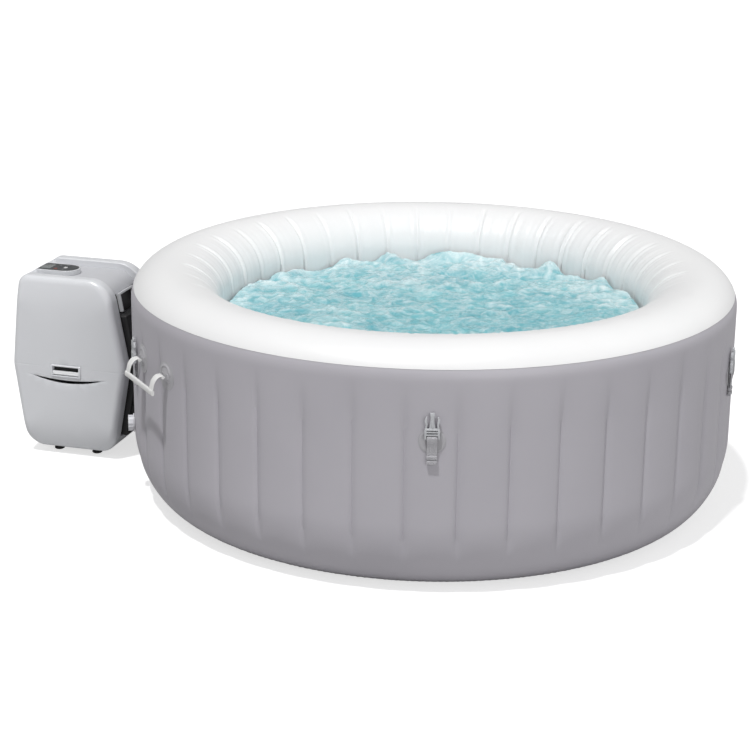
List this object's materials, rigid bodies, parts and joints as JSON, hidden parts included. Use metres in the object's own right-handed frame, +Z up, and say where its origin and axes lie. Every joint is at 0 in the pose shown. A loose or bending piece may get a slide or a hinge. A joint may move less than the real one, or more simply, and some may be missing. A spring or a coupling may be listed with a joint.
{
  "type": "inflatable hot tub",
  "caption": "Round inflatable hot tub with an air-chambered wall, padded rim, carry handles, cover buckles and a free-standing heater and blower pump joined by screw couplings.",
  "frame": {"origin": "centre of the round tub at the ground", "axes": "+Z up; -X towards the pump; -Y is the side with the front buckle and the pump's front latch"},
  "size_m": [2.1169, 1.6999, 0.66],
  "materials": {
    "wall_grey": "calendered vinyl, soft sheen, grey with a violet cast",
    "rim_white": "calendered vinyl, soft sheen, white",
    "liner": "embossed vinyl",
    "base": "matte vinyl",
    "web": "thin vinyl strip",
    "fitting_white": "moulded, satin gloss",
    "gasket": "matte",
    "black_plastic": "fine spark texture",
    "paper": "pleated paper",
    "pad_grey": "welded vinyl patch",
    "handle_band": "stiff smooth band",
    "webbing": "flat woven webbing",
    "buckle_plastic": "acetal, satin",
    "cover_grey": "moulded, soft gloss, cool light grey",
    "band_grey": "moulded, satin mid grey",
    "grip_light": "moulded, soft gloss",
    "feet": "matte",
    "latch_white": "moulded, glossy",
    "panel_dark": "membrane panel, satin dark grey",
    "display": "smooth",
    "button_light": "satin",
    "button_red": "satin",
    "motor_grey": "powder coat",
    "heater_steel": "brushed",
    "impeller_pale": "moulded"
  },
  "bodies": {
    "tub": {"outer_wall": "wall_grey", "top_rim": "rim_white", "inner_wall": "rim_white", "floor_liner": "liner", "base_sheet": "base", "chamber_webs": "web", "bubble_ring": "fitting_white", "inlet_wall_pipe": "fitting_white", "outlet_wall_pipe": "fitting_white", "air_wall_pipe": "fitting_white", "port_gaskets": "gasket", "filter_housing": "fitting_white", "filter_cartridge": "paper", "drain_valve_body": "fitting_white", "inflation_valve_body": "fitting_white", "handle_anchors": "pad_grey", "buckle_straps": "webbing", "front_upper_cover": "cover_grey", "front_lower_cover": "cover_grey", "rear_upper_cover": "cover_grey", "rear_lower_cover": "cover_grey", "top_band": "band_grey", "tub_side_panel": "black_plastic", "grip_frame": "grip_light", "base_tray": "black_plastic", "rubber_feet": "feet", "front_latch_frame": "cover_grey", "rear_latch_frame": "cover_grey", "control_panel": "panel_dark", "display_window": "display", "internal_pipes": "black_plastic", "pump_volute": "black_plastic", "pump_motor": "motor_grey", "water_heater": "heater_steel", "blower_housing": "black_plastic", "control_box": "black_plastic", "cable_gland": "gasket"},
    "inlet_union_nut": {"inlet_union_nut": "black_plastic"},
    "outlet_union_nut": {"outlet_union_nut": "black_plastic"},
    "air_union_nut": {"air_union_nut": "black_plastic"},
    "filter_cap": {"filter_cap": "fitting_white"},
    "drain_cap": {"drain_cap": "fitting_white"},
    "inflation_cap": {"inflation_cap": "fitting_white"},
    "front_handle": {"front_handle": "handle_band"},
    "rear_handle": {"rear_handle": "handle_band"},
    "front_buckle": {"front_buckle": "buckle_plastic"},
    "right_buckle": {"right_buckle": "buckle_plastic"},
    "rear_right_buckle": {"rear_right_buckle": "buckle_plastic"},
    "rear_left_buckle": {"rear_left_buckle": "buckle_plastic"},
    "left_buckle": {"left_buckle": "buckle_plastic"},
    "front_latch_lever": {"front_latch_lever": "latch_white"},
    "rear_latch_lever": {"rear_latch_lever": "latch_white"},
    "heater_button": {"heater_button": "button_red"},
    "filter_button": {"filter_button": "button_light"},
    "bubble_button": {"bubble_button": "button_light"},
    "warmer_button": {"warmer_button": "button_light"},
    "cooler_button": {"cooler_button": "button_light"},
    "pump_impeller": {"pump_impeller": "impeller_pale"},
    "blower_fan": {"blower_fan": "black_plastic"}
  },
  "joints": [
    {"name": "inlet_union_turn", "type": "hinge", "parent": "tub", "child": "inlet_union_nut", "pos_m": [-0.866, -0.055, 0.15], "axis": [1, 0, 0], "continuous": true},
    {"name": "outlet_union_turn", "type": "hinge", "parent": "tub", "child": "outlet_union_nut", "pos_m": [-0.866, 0.055, 0.15], "axis": [1, 0, 0], "continuous": true},
    {"name": "air_union_turn", "type": "hinge", "parent": "tub", "child": "air_union_nut", "pos_m": [-0.866, 0, 0.33], "axis": [1, 0, 0], "continuous": true},
    {"name": "filter_cap_turn", "type": "hinge", "parent": "tub", "child": "filter_cap", "pos_m": [-0.502, -0.055, 0.15], "axis": [1, 0, 0], "continuous": true},
    {"name": "drain_cap_turn", "type": "hinge", "parent": "tub", "child": "drain_cap", "pos_m": [-0.78996, 0.31916, 0.1], "axis": [-0.9272, 0.3746, 0], "continuous": true},
    {"name": "inflation_cap_turn", "type": "hinge", "parent": "tub", "child": "inflation_cap", "pos_m": [-0.78565, -0.34979, 0.208], "axis": [-0.9135, -0.4067, 0], "continuous": true},
    {"name": "front_handle_swing", "type": "hinge", "parent": "tub", "child": "front_handle", "pos_m": [-0.61863, -0.59741, 0.463], "axis": [-0.6947, 0.7193, 0], "range_deg": [-25, 100]},
    {"name": "rear_handle_swing", "type": "hinge", "parent": "tub", "child": "rear_handle", "pos_m": [0.61863, 0.59741, 0.463], "axis": [0.6947, -0.7193, 0], "range_deg": [-25, 100]},
    {"name": "front_buckle_swing", "type": "hinge", "parent": "tub", "child": "front_buckle", "pos_m": [0.22207, -0.82876, 0.434], "axis": [0.9659, 0.2588, 0], "range_deg": [0, 150]},
    {"name": "right_buckle_swing", "type": "hinge", "parent": "tub", "child": "right_buckle", "pos_m": [0.85682, -0.0449, 0.434], "axis": [0.0523, 0.9986, 0], "range_deg": [0, 150]},
    {"name": "rear_right_buckle_swing", "type": "hinge", "parent": "tub", "child": "rear_right_buckle", "pos_m": [0.30748, 0.80101, 0.434], "axis": [-0.9336, 0.3584, 0], "range_deg": [0, 150]},
    {"name": "rear_left_buckle_swing", "type": "hinge", "parent": "tub", "child": "rear_left_buckle", "pos_m": [-0.66679, 0.53996, 0.434], "axis": [-0.6293, -0.7771, 0], "range_deg": [0, 150]},
    {"name": "left_buckle_swing", "type": "hinge", "parent": "tub", "child": "left_buckle", "pos_m": [-0.71958, -0.4673, 0.434], "axis": [0.5446, -0.8387, 0], "range_deg": [0, 150]},
    {"name": "front_latch_tip", "type": "hinge", "parent": "tub", "child": "front_latch_lever", "pos_m": [-1.08, -0.146, 0.2635], "axis": [1, 0, 0], "range_deg": [0, 25], "stiffness_Nm_per_rad": 0.05},
    {"name": "rear_latch_tip", "type": "hinge", "parent": "tub", "child": "rear_latch_lever", "pos_m": [-1.08, 0.146, 0.2635], "axis": [-1, 0, 0], "range_deg": [0, 25], "stiffness_Nm_per_rad": 0.05},
    {"name": "heater_press", "type": "slide", "parent": "tub", "child": "heater_button", "axis": [0, 0, -1], "range_m": [0, 0.001], "stiffness_N_per_m": 400},
    {"name": "filter_press", "type": "slide", "parent": "tub", "child": "filter_button", "axis": [0, 0, -1], "range_m": [0, 0.001], "stiffness_N_per_m": 400},
    {"name": "bubble_press", "type": "slide", "parent": "tub", "child": "bubble_button", "axis": [0, 0, -1], "range_m": [0, 0.001], "stiffness_N_per_m": 400},
    {"name": "warmer_press", "type": "slide", "parent": "tub", "child": "warmer_button", "axis": [0, 0, -1], "range_m": [0, 0.001], "stiffness_N_per_m": 400},
    {"name": "cooler_press", "type": "slide", "parent": "tub", "child": "cooler_button", "axis": [0, 0, -1], "range_m": [0, 0.001], "stiffness_N_per_m": 400},
    {"name": "impeller_spin", "type": "hinge", "parent": "tub", "child": "pump_impeller", "pos_m": [-1.02, -0.055, 0.15], "axis": [1, 0, 0], "continuous": true},
    {"name": "fan_spin", "type": "hinge", "parent": "tub", "child": "blower_fan", "pos_m": [-1.08, 0, 0.372], "axis": [0, 1, 0], "continuous": true}
  ]
}
